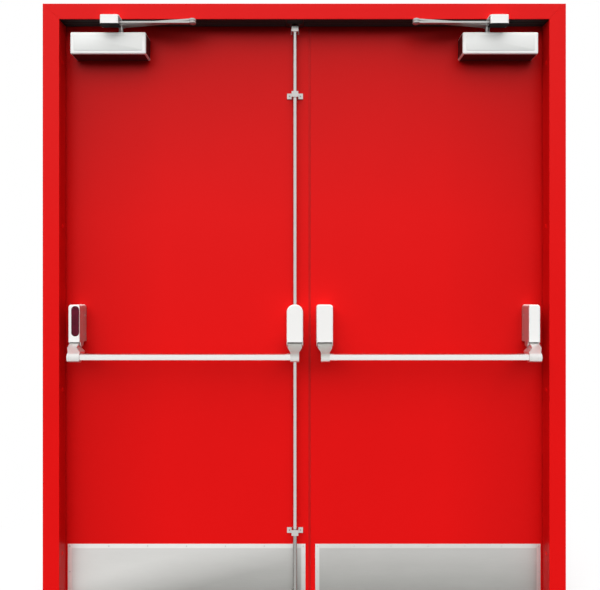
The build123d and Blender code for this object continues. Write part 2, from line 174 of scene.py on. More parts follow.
# Hinges: their number, half a hinge's height, its plates, and its screws as pairs of rise and depth
HINGES_PER_LEAF = 3
HINGE_HALF_HEIGHT = 0.05
HINGE_PLATE = 0.002
HINGE_PLATE_GAP = 0.001
HINGE_SCREW_SPOTS = ((-0.038, 0.012), (-0.013, 0.026), (0.013, 0.012), (0.038, 0.026))

# Closers: height of the housing without its spindle, how much smaller a panel or cap is than the side it
# lies on, and edges as pairs of inset and rise
CLOSER_HEIGHT = 0.077
CLOSER_PANEL_MARGIN = (0.024, 0.022)
CLOSER_PANEL_CORNER = 0.006
CLOSER_PANEL_EDGE = ((0.0, 0.0), (0.0002, 0.0004), (0.0010, 0.0007))
CLOSER_CAP_MARGIN = (0.011, 0.0055)
CLOSER_CAP_BACK = 0.0025
CLOSER_CAP_CORNER = 0.002
CLOSER_CAP_EDGE = ((0.0, 0.0), (0.0002, 0.0003), (0.0008, 0.0005))
SHOE_COVER_CORNER = 0.008
SHOE_COVER_EDGE = ((0.0, 0.0), (0.0, 0.0006), (0.0006, 0.0010))

# Indicator window, set into the front of its case
WINDOW_SIZE = (0.0275, 0.106)
WINDOW_CORNER = 0.0130
WINDOW_INSET = 0.0155
WINDOW_DROP = 0.0575
WINDOW_EDGE = ((0.0, -0.0008), (0.0, 0.0), (0.0003, 0.0003), (0.0015, 0.0007), (0.004, 0.0009))

# Cup over the hole for the top rod, dark as painted shade inside the head: outer radius, inner radius,
# height, roof
SHADE_CUP = (0.0125, 0.0110, 0.0140, 0.0015)

# Seals
STOP_GAP = 0.005
STOP_SEAL_WIDTH = 0.0070
STOP_SEAL_HEIGHT = 0.0042
# The head seal covers most of the soffit, where it also stands in as painted shade
HEAD_SEAL_INSET = 0.003
HEAD_SEAL_THICKNESS = 0.0012
HEAD_SEAL_GAP = 0.0004
HEAD_SEAL_GROOVE = (0.42, 0.36, 0.26, 0.20)
HEAD_SEAL_GROOVE_DEPTH = 0.5
MEETING_SEAL_DEPTH = 0.0006
MEETING_SEAL_ROOT = 0.0090
MEETING_SEAL_ROOT_SHARE = 0.25
MEETING_SEAL_LIP = 0.0018
MEETING_SEAL_TIP_SHARE = 0.08
MEETING_SEAL_TIP_FLAT = (0.3, 0.7)
MEETING_SEAL_CLEARANCE = 0.0001
SWEEP_HEIGHT = 0.0065
SWEEP_WIDTH = 0.010
SWEEP_SIDE = ((-1.0, 0.0), (-1.0, 0.25), (-0.35, 0.45), (-0.25, 1.0))

# Turns that lay a profile along X, with its own X along Y or along Z
PROFILE_ON_Y = Matrix(((0, 0, 1, 0), (1, 0, 0, 0), (0, 1, 0, 0), (0, 0, 0, 1)))
PROFILE_ON_Z = Matrix(((0, 0, 1, 0), (0, 1, 0, 0), (1, 0, 0, 0), (0, 0, 0, 1)))
UPSIDE_DOWN = Matrix.Rotation(math.pi, 4, "X")


# Shader nodes

def feed(tree, entry, value):
    """Links a socket to an input, or sets a plain value on it."""
    if isinstance(value, bpy.types.NodeSocket):
        tree.links.new(value, entry)
    else:
        entry.default_value = value


def set_inputs(tree, node, **values):
    """Feeds a node's inputs by name, with spaces written as underscores."""
    for name, value in values.items():
        feed(tree, node.inputs[name.replace("_", " ")], value)


def add_node(tree, kind, **values):
    """A node with some of its properties or inputs set."""
    node = tree.nodes.new(kind)
    for name, value in values.items():
        if hasattr(node, name):
            setattr(node, name, value)
        else:
            set_inputs(tree, node, **{name: value})
    return node


def coordinates(tree, kind):
    """The X, Y and Z of a kind of texture coordinate."""
    place = add_node(tree, "ShaderNodeTexCoord")
    split = add_node(tree, "ShaderNodeSeparateXYZ", Vector=place.outputs[kind])
    return split.outputs["X"], split.outputs["Y"], split.outputs["Z"]


def object_noise(tree, scale, stretch=(1.0, 1.0, 1.0), detail=3.0):
    """Noise in object space, stretched along the axes."""
    place = add_node(tree, "ShaderNodeTexCoord")
    mapping = add_node(tree, "ShaderNodeMapping", Vector=place.outputs["Object"], Scale=stretch)
    noise = add_node(tree, "ShaderNodeTexNoise", Vector=mapping.outputs["Vector"], Scale=scale, Detail=detail)
    return noise.outputs["Fac"]


def joined(tree, operation, first, second):
    """Two numbers put together."""
    result = add_node(tree, "ShaderNodeMath", operation=operation)
    feed(tree, result.inputs[0], first)
    feed(tree, result.inputs[1], second)
    return result.outputs[0]


def size_of(tree, value):
    """A value without its sign."""
    size = add_node(tree, "ShaderNodeMath", operation="ABSOLUTE")
    feed(tree, size.inputs[0], value)
    return size.outputs[0]


def vary(tree, factor, low, high):
    """A number that runs from low to high with a factor."""
    return add_node(tree, "ShaderNodeMapRange", Value=factor, To_Min=low, To_Max=high).outputs["Result"]


def band_from(tree, value, start, end, level):
    """A number that rises from 0 to a level between two values of another."""
    band = add_node(tree, "ShaderNodeMapRange", Value=value, From_Min=start, From_Max=end, To_Max=level)
    return band.outputs["Result"]


def ramp_between(tree, factor, low, high, start=0.0, end=1.0):
    """A colour that runs from low to high between two values of a factor."""
    ramp = add_node(tree, "ShaderNodeValToRGB", Fac=factor)
    for index, (position, colour) in enumerate(((start, low), (end, high))):
        ramp.color_ramp.elements[index].position = position
        ramp.color_ramp.elements[index].color = (*colour, 1.0)
    return ramp.outputs["Color"]


def grained(tree, grain, colour, share):
    """A colour that dips to a share of its brightness with a grain."""
    dull = tuple(share * level for level in colour)
    return ramp_between(tree, grain, dull, colour, *GRAIN_SPAN)


def turned_sideways(tree):
    """How far a face is turned sideways, from 0 to 1."""
    return size_of(tree, coordinates(tree, "Normal")[0])


def off_middle(tree, share):
    """How far a share of a length lies from its middle."""
    return size_of(tree, joined(tree, "SUBTRACT", share, 0.5))


def add_bump(tree, shader, height, strength, distance):
    """Bump from a height into a shader's normal."""
    bump = add_node(tree, "ShaderNodeBump", Height=height, Strength=strength, Distance=distance)
    set_inputs(tree, shader, Normal=bump.outputs["Normal"])


def new_material(name):
    """An empty node material with its principled shader."""
    material = bpy.data.materials.new(name)
    material.use_nodes = True
    return material, material.node_tree, material.node_tree.nodes["Principled BSDF"]


# Materials

def painted_leaf_shade(tree):
    """Painted shade: the paint deepens towards the head and the hinge side of a leaf."""
    x, _, z = coordinates(tree, "Object")
    upwards = band_from(tree, z, *PAINTED_SHADE_UP)
    outwards = band_from(tree, size_of(tree, x), *PAINTED_SHADE_OUT)
    return joined(tree, "ADD", upwards, outwards)


def painted_reveal_shade(tree):
    """Painted shade: the paint is deeper on the faces that are turned sideways."""
    return band_from(tree, turned_sideways(tree), *SIDEWAYS, PAINTED_REVEAL_SHADE)


def red_paint(name, shade=None):
    """Satin red paint over sheet steel, with a faint orange peel, and deeper where a painted shade is given.
    """
    material, tree, shader = new_material(name)
    tone = vary(tree, object_noise(tree, scale=2.5), low=0.0, high=0.14)
    if shade:
        tone = joined(tree, "ADD", tone, shade(tree))
    peel = object_noise(tree, scale=420.0, detail=1.0)
    colour = ramp_between(tree, tone, RED, RED_DEEP)
    rough = vary(tree, peel, low=0.36, high=0.46)
    set_inputs(tree, shader, Base_Color=colour, Roughness=rough, Specular_IOR_Level=0.09)
    add_bump(tree, shader, peel, strength=0.12, distance=0.0004)
    return material


def brushed_steel(name, tone, stretch, roughness):
    """Steel brushed along one axis."""
    material, tree, shader = new_material(name)
    grain = object_noise(tree, scale=60.0, stretch=stretch, detail=4.0)
    colour = grained(tree, grain, tone, share=0.93)
    rough = vary(tree, grain, low=roughness - 0.06, high=roughness + 0.06)
    set_inputs(tree, shader, Base_Color=colour, Roughness=rough, Metallic=1.0, Anisotropic=0.5)
    add_bump(tree, shader, grain, strength=0.08, distance=0.0003)
    return material


def kick_steel():
    """Stainless plate brushed along, with a painted reflection that darkens towards the foot, a painted
    slanting sheen and a border brightened as a painted highlight.
    """
    material, tree, shader = new_material("kick_steel")
    x, _, z = coordinates(tree, "Object")
    share_along, _, share_up = coordinates(tree, "Generated")
    sheen_start, sheen_end = KICK_SHEEN
    slant = joined(tree, "SUBTRACT", x, joined(tree, "MULTIPLY", z, KICK_SLANT))
    rise = band_from(tree, z, *KICK_RISE)
    beside_sheen = band_from(tree, slant, sheen_start, sheen_end, level=1.0)
    sheen = band_from(tree, slant, sheen_end, sheen_start, KICK_SHEEN_LEVEL)
    ends = band_from(tree, off_middle(tree, share_along), *KICK_ENDS)
    rims = band_from(tree, off_middle(tree, share_up), *KICK_RIMS)
    grain = object_noise(tree, scale=60.0, stretch=ALONG_X, detail=4.0)
    scuff = object_noise(tree, scale=9.0, stretch=(0.6, 1.0, 2.5), detail=5.0)
    tone = joined(tree, "ADD", joined(tree, "MULTIPLY", rise, beside_sheen), sheen)
    tone = joined(tree, "ADD", tone, joined(tree, "MAXIMUM", ends, rims))
    for noise in (grain, scuff):
        tone = joined(tree, "ADD", tone, vary(tree, noise, low=-0.05, high=0.05))
    colour = ramp_between(tree, tone, KICK_SHADED, KICK_BRIGHT)
    rough = vary(tree, scuff, low=0.28, high=0.40)
    set_inputs(tree, shader, Base_Color=colour, Roughness=rough, Metallic=0.4, Anisotropic=0.5)
    add_bump(tree, shader, grain, strength=0.08, distance=0.0003)
    return material


def rod_steel():
    """Bright rod, darkened below its lowest wide guide as painted shade."""
    material, tree, shader = new_material("rod_steel")
    grain = object_noise(tree, scale=60.0, stretch=ALONG_Z, detail=4.0)
    above_foot = band_from(tree, coordinates(tree, "Object")[2], *ROD_FOOT_TOP)
    tone = joined(tree, "ADD", above_foot, vary(tree, grain, low=-0.05, high=0.05))
    colour = ramp_between(tree, tone, ROD_FOOT_SHADED, ROD_STEEL_TONE)
    rough = vary(tree, grain, low=0.20, high=0.32)
    set_inputs(tree, shader, Base_Color=colour, Roughness=rough, Metallic=1.0)
    return material


def lacquer(name, tone):
    """Silver lacquer on the closers, their shoes and the latch cases."""
    material, tree, shader = new_material(name)
    fleck = object_noise(tree, scale=900.0, detail=2.0)
    colour = grained(tree, fleck, tone, share=0.95)
    rough = vary(tree, fleck, low=0.34, high=0.44)
    set_inputs(tree, shader, Base_Color=colour, Roughness=rough, Metallic=0.15, Specular_IOR_Level=0.35)
    add_bump(tree, shader, fleck, strength=0.05, distance=0.0002)
    return material


def case_lacquer():
    """Silver lacquer on the cases beside the hinges, with polished side walls darkened as painted shade."""
    material, tree, shader = new_material("silver_case")
    turned = turned_sideways(tree)
    side_start, side_end = SIDEWAYS
    fleck = object_noise(tree, scale=900.0, detail=2.0)
    front = band_from(tree, turned, side_end, side_start, level=0.95)
    tone = joined(tree, "ADD", front, vary(tree, fleck, low=-0.05, high=0.05))
    colour = ramp_between(tree, tone, CASE_SIDE_PAINTED_SHADE, SILVER)
    rough = vary(tree, fleck, low=0.34, high=0.44)
    polish = band_from(tree, turned, side_start, side_end, CASE_SIDE_POLISH)
    set_inputs(tree, shader, Base_Color=colour, Roughness=rough, Metallic=polish, Specular_IOR_Level=0.35)
    return material


def cast_alloy():
    """Cast alloy of the closer arms, slightly grained."""
    material, tree, shader = new_material("alloy")
    grain = object_noise(tree, scale=260.0, detail=3.0)
    colour = grained(tree, grain, ALLOY, share=0.88)
    rough = vary(tree, grain, low=0.38, high=0.52)
    set_inputs(tree, shader, Base_Color=colour, Roughness=rough, Metallic=0.6)
    add_bump(tree, shader, grain, strength=0.10, distance=0.0003)
    return material


def lever_alloy():
    """Cast levers, darkened to grey as painted shade, with tips round the crossbar lightened as a painted
    highlight. Beside the hinges nearly all is lightened.
    """
    material, tree, shader = new_material("lever_alloy")
    x, _, z = coordinates(tree, "Object")
    grain = object_noise(tree, scale=260.0, detail=3.0)
    rise = band_from(tree, size_of(tree, x), *LEVER_TIP_RISE)
    tip = band_from(tree, joined(tree, "SUBTRACT", z, rise), *LEVER_TIP_TOP)
    tone = joined(tree, "ADD", tip, vary(tree, grain, low=-0.06, high=0.06))
    colour = ramp_between(tree, tone, LEVER_GREY, LEVER_TIP)
    rough = vary(tree, grain, low=0.30, high=0.42)
    set_inputs(tree, shader, Base_Color=colour, Roughness=rough, Metallic=0.85)
    add_bump(tree, shader, grain, strength=0.10, distance=0.0003)
    return material


def rubber(name, tone):
    """Extruded rubber or plastic, dull and slightly streaked."""
    material, tree, shader = new_material(name)
    streak = object_noise(tree, scale=90.0, stretch=(12.0, 12.0, 0.6), detail=3.0)
    colour = grained(tree, streak, tone, share=0.8)
    rough = vary(tree, streak, low=0.58, high=0.75)
    set_inputs(tree, shader, Base_Color=colour, Roughness=rough, Specular_IOR_Level=0.2)
    add_bump(tree, shader, streak, strength=0.10, distance=0.0003)
    return material


def plum_lens():
    """Dark glossy plastic of the indicator window."""
    material, tree, shader = new_material("plum_lens")
    cloud = object_noise(tree, scale=40.0, detail=2.0)
    colour = grained(tree, cloud, PLUM, share=0.6)
    rough = vary(tree, cloud, low=0.16, high=0.26)
    set_inputs(tree, shader, Base_Color=colour, Roughness=rough, Specular_IOR_Level=0.15)
    return material


RED_PAINT = red_paint("red_paint")
LEAF_PAINT_SHADED = red_paint("leaf_paint_painted_shade", painted_leaf_shade)
JAMB_PAINT_SHADED = red_paint("jamb_paint_painted_shade", painted_reveal_shade)
KICK_STEEL = kick_steel()
ROD_STEEL = rod_steel()
PLATE_STEEL = brushed_steel("stainless", STAINLESS, ALONG_X, roughness=0.32)
HINGE_STEEL = brushed_steel("hinge_steel", STEEL, ALONG_Z, roughness=0.34)
LACQUER = lacquer("silver", SILVER)
PANEL_LACQUER_SHADED = lacquer("silver_panel_shaded", PANEL_SILVER_SHADED)
CASE_LACQUER = case_lacquer()
CAST_ALLOY = cast_alloy()
LEVER_ALLOY = lever_alloy()
BAR_STEEL = brushed_steel("bar_steel", BRIGHT_STEEL, ALONG_X, roughness=0.26)
# The top strike's steel is darkened as painted shade
STRIKE_STEEL_SHADED = brushed_steel("strike_steel_shaded", STRIKE_SHADE_TONE, ALONG_X, roughness=0.40)
BLACK_RUBBER = rubber("black_rubber", RUBBER)
MEETING_RUBBER = rubber("red_rubber", RED_RUBBER)
SHADE_BLACK_PLASTIC = rubber("shade_black_plastic", SHADE_BLACK)
SHADE_RED_PLASTIC = rubber("maroon_shade_plastic", MAROON_SHADE)
LENS = plum_lens()
SCREW_RECESS_SHADE = rubber("screw_recess_shade", RECESS_SHADE)

BY_SLOT = {
    "red_paint": RED_PAINT,
    "core": RED_PAINT,
    "stainless": PLATE_STEEL,
    "hinge_steel": HINGE_STEEL,
    "silver": LACQUER,
    "alloy": CAST_ALLOY,
    "bar_steel": BAR_STEEL,
}
BY_NODE = {
    "top_rod": ROD_STEEL,
    "bottom_rod": ROD_STEEL,
    "rod_guides": PLATE_STEEL,
    "top_strike": STRIKE_STEEL_SHADED,
}
ON_BOTH_SIDES = {
    "front_skin": LEAF_PAINT_SHADED,
    "jamb": JAMB_PAINT_SHADED,
    "kick_plate": KICK_STEEL,
    "levers": LEVER_ALLOY,
    "hinge_case": CASE_LACQUER,
}
for side, _ in SIDES:
    BY_NODE.update({f"{side}_{name}": material for name, material in ON_BOTH_SIDES.items()})


def paint_nodes():
    """Gives every node its own material, or else the one of its slot."""
    for part in frame["record"]["subparts"]:
        mesh = nodes[part["node"]].data
        mesh.materials.clear()
        mesh.materials.append(BY_NODE.get(part["node"], BY_SLOT[part["material_slot"]]))


def soften_edges(node, width):
    """Rounds a node's sharp edges, as folded sheet has them."""
    weld = nodes[node].modifiers.new("weld", "WELD")
    weld.merge_threshold = WELD_DISTANCE
    bevel = nodes[node].modifiers.new("bend", "BEVEL")
    bevel.width = width
    bevel.segments = BEND_STEPS
    bevel.limit_method = "ANGLE"
    bevel.angle_limit = BEND_ANGLE
    bevel.harden_normals = True


# Mesh making

def facing(centre, axis):
    """Takes local +Z to an axis at a place."""
    turn = Vector(axis).to_track_quat("Z", "Y").to_matrix().to_4x4()
    return Matrix.Translation(centre) @ turn


def middle(low, high):
    """The middle of a box."""
    return [(a + b) / 2 for a, b in zip(low, high)]


def spread(low, high, count):
    """Evenly spaced values from low to high."""
    return [low + (high - low) * i / (count - 1) for i in range(count)]


def circle(radius, count=24):
    """Points round a circle."""
    angles = [2 * math.pi * i / count for i in range(count)]
    return [(radius * math.cos(a), radius * math.sin(a)) for a in angles]


def half_round(width, height, steps=8):
    """A half-round profile that stands on local X."""
    angles = [math.pi * step / steps for step in range(steps + 1)]
    return [(width / 2 * math.cos(a), height * math.sin(a)) for a in angles]


def rounded_rectangle(width, height, radius, steps=6):
    """Points round a rectangle with round corners."""
    points = []
    for quarter, (sx, sy) in enumerate(((1, 1), (-1, 1), (-1, -1), (1, -1))):
        centre = (sx * (width / 2 - radius), sy * (height / 2 - radius))
        for step in range(steps + 1):
            angle = math.pi / 2 * (quarter + step / steps)
            points.append((centre[0] + radius * math.cos(angle), centre[1] + radius * math.sin(angle)))
    return points


def cross(arm, half_width):
    """Points of a cross recess."""
    quarter = [(arm, half_width), (half_width, half_width), (half_width, arm)]
    points = []
    for c, s in ((1, 0), (0, 1), (-1, 0), (0, -1)):
        points += [(c * x - s * y, s * x + c * y) for x, y in quarter]
    return points


def mirrored(outline):
    """An outline that goes on with its own mirror image across the local Y axis."""
    return outline + [(-x, y) for x, y in reversed(outline)]


def add_loop(bm, place, points, height):
    """Vertices of a closed outline at a local height."""
    return [bm.verts.new(place @ Vector((x, y, height))) for x, y in points]


def add_band(bm, low, high):
    """Faces between two loops of the same length."""
    count = len(low)
    faces = []
    for i in range(count):
        j = (i + 1) % count
        faces.append(bm.faces.new((low[i], low[j], high[j], high[i])))
    return faces


def add_stack(bm, loops):
    """A closed form through a row of loops."""
    for low, high in zip(loops, loops[1:]):
        add_band(bm, low, high)
    bm.faces.new(loops[0])
    bm.faces.new(loops[-1])


def add_prism(bm, place, outline, length):
    """An outline extruded along local Z."""
    add_stack(bm, [add_loop(bm, place, outline, height) for height in (0.0, length)])


def add_dome(bm, place, radius, height, steps=5):
    """A closed low dome."""
    loops = []
    for step in range(steps):
        angle = math.pi / 2 * step / steps
        loops.append(add_loop(bm, place, circle(radius * math.cos(angle)), height * math.sin(angle)))
    add_stack(bm, loops)


def add_pad(bm, place, size, radius, edge):
    """A plate with round corners, whose edge follows pairs of inset and rise."""
    loops = []
    for inset, rise in edge:
        outline = rounded_rectangle(size[0] - 2 * inset, size[1] - 2 * inset, radius - inset)
        loops.append(add_loop(bm, place, outline, rise))
    add_stack(bm, loops)


def ring_edges(bm, loop):
    """The edges round a loop."""
    return [bm.edges.get(pair) for pair in zip(loop, loop[1:] + loop[:1])]


def add_screw(bm, place, size):
    """A raised screw head with a cross recess."""
    radius, height = size
    loops = [add_loop(bm, place, circle(wide * radius), high * height) for wide, high in SCREW_SIDE]
    for low, high in zip(loops, loops[1:]):
        add_band(bm, low, high)
    bm.faces.new(loops[0])
    mouth = add_loop(bm, place, cross(*(share * radius for share in RECESS_MOUTH)), height)
    bottom = add_loop(bm, place, cross(*(share * radius for share in RECESS_FLOOR)), RECESS_LEVEL * height)
    for face in add_band(bm, mouth, bottom) + [bm.faces.new(bottom)]:
        face.material_index = RECESS_SLOT
    edges = ring_edges(bm, mouth) + ring_edges(bm, loops[-1])
    bmesh.ops.triangle_fill(bm, use_beauty=True, edges=edges)


def finish_piece(name, bm, body, materials):
    """Turns a mesh into a named piece that rides on a body."""
    bmesh.ops.recalc_face_normals(bm, faces=bm.faces)
    mesh = bpy.data.meshes.new(name)
    bm.to_mesh(mesh)
    bm.free()
    for material in materials:
        mesh.materials.append(material)
    mesh.shade_smooth()
    mesh.set_sharp_from_angle(angle=SMOOTH_ANGLE)
    piece = bpy.data.objects.new(name, mesh)
    bpy.context.scene.collection.objects.link(piece)
    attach(piece, body)


# Leaves

def kick_screws(side):
    """Screws along the bevelled border of a kick plate."""
    low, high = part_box(f"{side}_kick_plate")
    _, y, middle_height = middle(low, high)
    left, right = low[0] + KICK_SCREW_INSET, high[0] - KICK_SCREW_INSET
    spots = []
    for z in (low[2] + KICK_SCREW_INSET, high[2] - KICK_SCREW_INSET):
        spots += [(x, z) for x in spread(left, right, KICK_SCREWS_ALONG)]
    spots += [(left, middle_height), (right, middle_height)]
    bm = bmesh.new()
    for x, z in spots:
        add_screw(bm, facing((x, y, z), (0, -1, 0)), KICK_SCREW)
    finish_piece(f"{side}_kick_screws", bm, f"{side}_leaf", (PLATE_STEEL, HINGE_STEEL))


def meeting_seal():
    """A soft lip on the left leaf's meeting edge that closes the gap to the right leaf."""
    low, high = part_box("left_front_skin")
    start = high[0]
    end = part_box("right_front_skin")[0][0] - MEETING_SEAL_CLEARANCE
    root = start + MEETING_SEAL_ROOT_SHARE * (end - start)
    tip = end - MEETING_SEAL_TIP_SHARE * (end - start)
    front = low[1] + MEETING_SEAL_DEPTH
    back = front + MEETING_SEAL_ROOT
    lip_back = front + MEETING_SEAL_LIP
    outline = [(start, front), (tip, front)]
    outline += [(end, front + share * MEETING_SEAL_LIP) for share in MEETING_SEAL_TIP_FLAT]
    outline += [(tip, lip_back), (root, lip_back + MEETING_SEAL_LIP), (root, back), (start, back)]
    bm = bmesh.new()
    add_prism(bm, Matrix.Translation((0, 0, low[2])), outline, high[2] - low[2])
    finish_piece("meeting_seal", bm, "left_leaf", (MEETING_RUBBER,))


def bottom_sweep(side):
    """A rubber sweep under a leaf."""
    low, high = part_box(f"{side}_front_skin")
    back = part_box(f"{side}_back_skin")[1][1]
    outline = mirrored([(x * SWEEP_WIDTH / 2, -z * SWEEP_HEIGHT) for x, z in SWEEP_SIDE])
    place = Matrix.Translation((low[0], (low[1] + back) / 2, low[2])) @ PROFILE_ON_Y
    bm = bmesh.new()
    add_prism(bm, place, outline, high[0] - low[0])
    finish_piece(f"{side}_bottom_sweep", bm, f"{side}_leaf", (BLACK_RUBBER,))


def bolt_caps(side):
    """Screw caps on the pull face, opposite the closer and the push bar cases."""
    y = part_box(f"{side}_back_skin")[1][1]
    low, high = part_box(f"{side}_closer_body")
    spots = []
    for x in (low[0] + CLOSER_BOLT_INSET, high[0] - CLOSER_BOLT_INSET):
        spots += [(x, low[2] + level) for level in CLOSER_BOLT_LEVELS]
    for case in ("latch_case", "hinge_case"):
        low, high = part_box(f"{side}_{case}")
        x = middle(low, high)[0]
        spots += [(x, low[2] + CASE_BOLT_RISE), (x, high[2] - CASE_BOLT_DROP)]
    bm = bmesh.new()
    for x, z in spots:
        add_screw(bm, facing((x, y, z), (0, 1, 0)), BOLT_CAP)
    finish_piece(f"{side}_bolt_caps", bm, f"{side}_leaf", (HINGE_STEEL, SCREW_RECESS_SHADE))


# Hinges

def face_of_plate(side, sign, half):
    """Where the face of a hinge plate lies across the door."""
    leaf_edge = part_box(f"{side}_front_skin")[0][0] if sign < 0 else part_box(f"{side}_front_skin")[1][0]
    leaf_face = leaf_edge + sign * HINGE_PLATE
    return leaf_face if half == "leaf" else leaf_face + sign * HINGE_PLATE_GAP


def hinge_screws(side, sign, half, body, axis):
    """Flush screws in one half of each hinge."""
    low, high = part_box(f"{side}_hinge_{half}_halves")
    face = face_of_plate(side, sign, half)
    bm = bmesh.new()
    for level in spread(low[2] + HINGE_HALF_HEIGHT, high[2] - HINGE_HALF_HEIGHT, HINGES_PER_LEAF):
        for rise, depth in HINGE_SCREW_SPOTS:
            spot = (face, low[1] + depth, level + rise)
            add_screw(bm, facing(spot, (axis * sign, 0, 0)), HINGE_SCREW)
    finish_piece(f"{side}_hinge_{half}_screws", bm, body, (HINGE_STEEL, SCREW_RECESS_SHADE))


# Closers

def closer_panel(side):
    """A raised panel on the front of a closer, its lacquer darkened as painted shade so the edges round it
    show as a painted highlight.
    """
    low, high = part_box(f"{side}_closer_body")
    size = (high[0] - low[0] - CLOSER_PANEL_MARGIN[0], CLOSER_HEIGHT - CLOSER_PANEL_MARGIN[1])
    centre = (middle(low, high)[0], low[1], low[2] + CLOSER_HEIGHT / 2)
    bm = bmesh.new()
    add_pad(bm, facing(centre, (0, -1, 0)), size, CLOSER_PANEL_CORNER, CLOSER_PANEL_EDGE)
    finish_piece(f"{side}_closer_panel", bm, f"{side}_leaf", (PANEL_LACQUER_SHADED,))


def closer_shade_caps(side):
    """Dark red plates under a closer and on its two ends, tinted to stand in as painted shade."""
    low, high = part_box(f"{side}_closer_body")
    x_middle, y_middle, _ = middle(low, high)
    y = y_middle + CLOSER_CAP_BACK
    depth = high[1] - low[1] - CLOSER_CAP_MARGIN[1]
    bm = bmesh.new()
    under = Matrix.Translation((x_middle, y, low[2])) @ UPSIDE_DOWN
    size = (high[0] - low[0] - CLOSER_CAP_MARGIN[0], depth)
    add_pad(bm, under, size, CLOSER_CAP_CORNER, CLOSER_CAP_EDGE)
    size = (CLOSER_HEIGHT - CLOSER_CAP_MARGIN[0], depth)
    for x, axis in ((low[0], -1), (high[0], 1)):
        turn = Matrix.Rotation(axis * math.pi / 2, 4, "Y")
        end = Matrix.Translation((x, y, low[2] + CLOSER_HEIGHT / 2)) @ turn
        add_pad(bm, end, size, CLOSER_CAP_CORNER, CLOSER_CAP_EDGE)
    finish_piece(f"{side}_closer_shade_caps", bm, f"{side}_leaf", (SHADE_RED_PLASTIC,))


def closer_trim(side, sign):
    """Regulating screws on the inner end of a closer, and a cap under its spindle, in the dark red and black
    that stand in as painted shade.
    """
    low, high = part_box(f"{side}_closer_body")
    spindle_low, spindle_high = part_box(f"{side}_closer_spindle")
    inner = low[0] if sign > 0 else high[0]
    bm = bmesh.new()
    for rise in (-VALVE_SCREW_RISE, VALVE_SCREW_RISE):
        spot = (inner, middle(low, high)[1], low[2] + CLOSER_HEIGHT / 2 + rise)
        add_screw(bm, facing(spot, (-sign, 0, 0)), VALVE_SCREW)
    spindle_x, spindle_y, _ = middle(spindle_low, spindle_high)
    add_dome(bm, facing((spindle_x, spindle_y, low[2]), (0, 0, -1)), *PINION_CAP)
    finish_piece(f"{side}_closer_trim", bm, f"{side}_leaf", (SHADE_RED_PLASTIC, SHADE_BLACK_PLASTIC))


def shoe_shade_cover(side):
    """A dark cover plate that closes a soffit shoe from below, standing in as painted shade."""
    low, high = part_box(f"{side}_closer_shoe")
    front_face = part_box("frame_head")[0][1]
    centre = (middle(low, high)[0], (low[1] + front_face) / 2, low[2])
    size = (high[0] - low[0], front_face - low[1])
    bm = bmesh.new()
    add_pad(bm, Matrix.Translation(centre) @ UPSIDE_DOWN, size, SHOE_COVER_CORNER, SHOE_COVER_EDGE)
    finish_piece(f"{side}_shoe_shade_cover", bm, "frame", (SHADE_BLACK_PLASTIC,))


# Push bars

def case_screws(side):
    """Screws in the side walls of the push bar cases."""
    bm = bmesh.new()
    for case in ("latch_case", "hinge_case"):
        low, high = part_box(f"{side}_{case}")
        for x, axis in ((low[0], -1), (high[0], 1)):
            for z in (low[2] + CASE_SCREW_RISE, high[2] - CASE_SCREW_DROP):
                add_screw(bm, facing((x, high[1] - CASE_SCREW_BACK, z), (axis, 0, 0)), CASE_SCREW)
    finish_piece(f"{side}_case_screws", bm, f"{side}_leaf", (HINGE_STEEL, SCREW_RECESS_SHADE))


def indicator_window():
    """A dark oval window in the front of the left hinge case."""
    low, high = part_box("left_hinge_case")
    centre = (high[0] - WINDOW_INSET, low[1], high[2] - WINDOW_DROP)
    bm = bmesh.new()
    add_pad(bm, facing(centre, (0, -1, 0)), WINDOW_SIZE, WINDOW_CORNER, WINDOW_EDGE)
    finish_piece("left_indicator_window", bm, "left_leaf", (LENS,))


def guide_screws():
    """Two screws in the flanges of each wide rod guide."""
    low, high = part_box("rod_guides")
    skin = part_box("left_front_skin")
    kick_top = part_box("left_kick_plate")[1][2]
    x_middle = middle(low, high)[0]
    y = skin[0][1] - GUIDE_FLANGE
    bm = bmesh.new()
    for z in (kick_top + GUIDE_KICK_RISE, skin[1][2] - GUIDE_TOP_INSET):
        for shift in (-GUIDE_SCREW_SHIFT, GUIDE_SCREW_SHIFT):
            add_screw(bm, facing((x_middle + shift, y, z), (0, -1, 0)), GUIDE_SCREW)
    finish_piece("guide_screws", bm, "left_leaf", (HINGE_STEEL, SCREW_RECESS_SHADE))


# Frame

def fixing_caps():
    """Red caps over the wall fixings in the jamb reveals."""
    bm = bmesh.new()
    for mount in frame["record"]["mounts"]:
        if mount["kind"] != "bolt_pattern":
            continue
        side = "left" if mount["axis"][0] < 0 else "right"
        low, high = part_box(f"{side}_jamb")
        x = high[0] if side == "left" else low[0]
        axis = (-mount["axis"][0], 0, 0)
        half_pitch = mount["dims"]["spacing_y_mm"] / (2 * MM_PER_M)
        for z in (mount["pos_m"][2] - half_pitch, mount["pos_m"][2] + half_pitch):
            add_dome(bm, facing((x, mount["pos_m"][1], z), axis), *FIXING_CAP)
    finish_piece("fixing_caps", bm, "frame", (RED_PAINT,))


